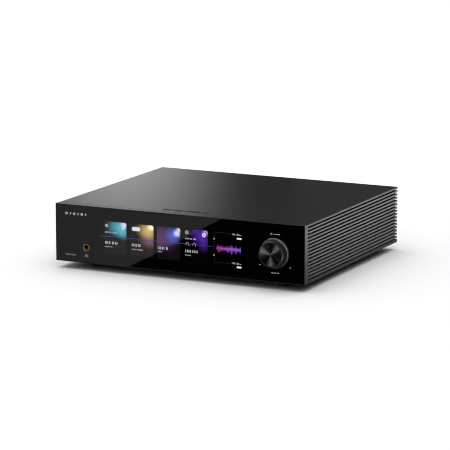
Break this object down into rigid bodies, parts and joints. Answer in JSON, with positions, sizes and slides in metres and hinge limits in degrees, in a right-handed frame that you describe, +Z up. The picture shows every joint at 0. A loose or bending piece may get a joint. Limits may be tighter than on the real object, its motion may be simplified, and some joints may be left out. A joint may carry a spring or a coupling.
{
  "type": "desktop dac",
  "caption": "Full-width hi-fi digital-to-analogue converter with finned sides, glass front, wide display, push-and-turn volume knob, headphone socket and rear connectors.",
  "frame": {"origin": "on the surface under the feet, at the middle of the box from the knob's face to the longest rear socket", "axes": "+X to the right seen from the front, +Y towards the back, +Z up; the front faces -Y"},
  "size_m": [0.43, 0.393, 0.1035],
  "materials": {
    "black_anodised": "satin black anodised",
    "finned_aluminium": "satin black anodised, milled fins",
    "spun_aluminium": "black anodised, spun face",
    "front_glass": "gloss black-backed glass",
    "display": "gloss display panel, lit",
    "zinc_steel": "zinc plated",
    "screw_zinc": "blackened steel",
    "gold_plate": "polished gold plate",
    "nickel_plate": "polished nickel plate",
    "black_plastic": "matte moulded",
    "switch_plastic": "satin moulded",
    "foot_plastic": "matte moulded",
    "foot_rubber": "matte rubber",
    "circuit_board": "satin solder mask over glass fibre",
    "winding": "satin polyester tape over copper and steel",
    "capacitor_sleeve": "gloss shrink sleeve",
    "ribbon": "satin flat cable",
    "lead_sleeve": "matte cable sleeve"
  },
  "bodies": {
    "casing": {"top_cover": "black_anodised", "bottom_plate": "black_anodised", "front_panel": "black_anodised", "rear_panel": "black_anodised", "side_panel_left": "finned_aluminium", "side_panel_right": "finned_aluminium", "front_glass": "front_glass", "display_module": "display", "front_bracket": "zinc_steel", "encoder_body": "zinc_steel", "shield_partition": "zinc_steel", "converter_shield": "zinc_steel", "transformer_bolt_front": "zinc_steel", "transformer_bolt_rear": "zinc_steel", "rear_screw_lower_left": "screw_zinc", "rear_screw_lower_right": "screw_zinc", "rear_screw_upper_left": "screw_zinc", "rear_screw_upper_right": "screw_zinc", "bottom_screw_front_left": "screw_zinc", "bottom_screw_front_right": "screw_zinc", "bottom_screw_rear_left": "screw_zinc", "bottom_screw_rear_right": "screw_zinc", "headphone_ring": "gold_plate", "rca_out_left": "gold_plate", "rca_out_right": "gold_plate", "coax_in": "gold_plate", "encoder_nut": "nickel_plate", "xlr_out_left": "nickel_plate", "xlr_out_right": "nickel_plate", "clock_in": "nickel_plate", "usb_in": "nickel_plate", "headphone_socket": "black_plastic", "optical_in": "black_plastic", "mains_inlet": "black_plastic", "foot_front_left": "foot_plastic", "foot_front_right": "foot_plastic", "foot_rear_left": "foot_plastic", "foot_rear_right": "foot_plastic", "foot_pad_front_left": "foot_rubber", "foot_pad_front_right": "foot_rubber", "foot_pad_rear_left": "foot_rubber", "foot_pad_rear_right": "foot_rubber", "encoder_board": "circuit_board", "main_board": "circuit_board", "power_board": "circuit_board", "transformer_front": "winding", "transformer_rear": "winding", "capacitor_1": "capacitor_sleeve", "capacitor_2": "capacitor_sleeve", "capacitor_3": "capacitor_sleeve", "capacitor_4": "capacitor_sleeve", "ribbon_cable": "ribbon", "mains_lead": "lead_sleeve"},
    "plunger": {"encoder_plunger": "black_plastic"},
    "knob": {"volume_knob": "spun_aluminium", "encoder_shaft": "nickel_plate"},
    "rocker": {"power_rocker": "switch_plastic"},
    "drawer": {"fuse_drawer": "switch_plastic"},
    "shutter": {"optical_shutter": "black_plastic"}
  },
  "joints": [
    {"name": "knob_push", "type": "slide", "parent": "casing", "child": "plunger", "axis": [0, 1, 0], "range_m": [0, 0.0008], "stiffness_N_per_m": 3000, "springref_m": -0.0004},
    {"name": "knob_turn", "type": "hinge", "parent": "plunger", "child": "knob", "pos_m": [0.1656, -0.18, 0.05775], "axis": [0, -1, 0], "continuous": true},
    {"name": "rocker_tilt", "type": "hinge", "parent": "casing", "child": "rocker", "pos_m": [-0.15, 0.1882, 0.074], "axis": [-1, 0, 0], "range_deg": [0, 18]},
    {"name": "drawer_slide", "type": "slide", "parent": "casing", "child": "drawer", "axis": [0, 1, 0], "range_m": [0, 0.018]},
    {"name": "shutter_swing", "type": "hinge", "parent": "casing", "child": "shutter", "pos_m": [0.052, 0.1865, 0.0721], "axis": [-1, 0, 0], "range_deg": [0, 85], "stiffness_Nm_per_rad": 0.0008, "springref_deg": -17.19}
  ]
}
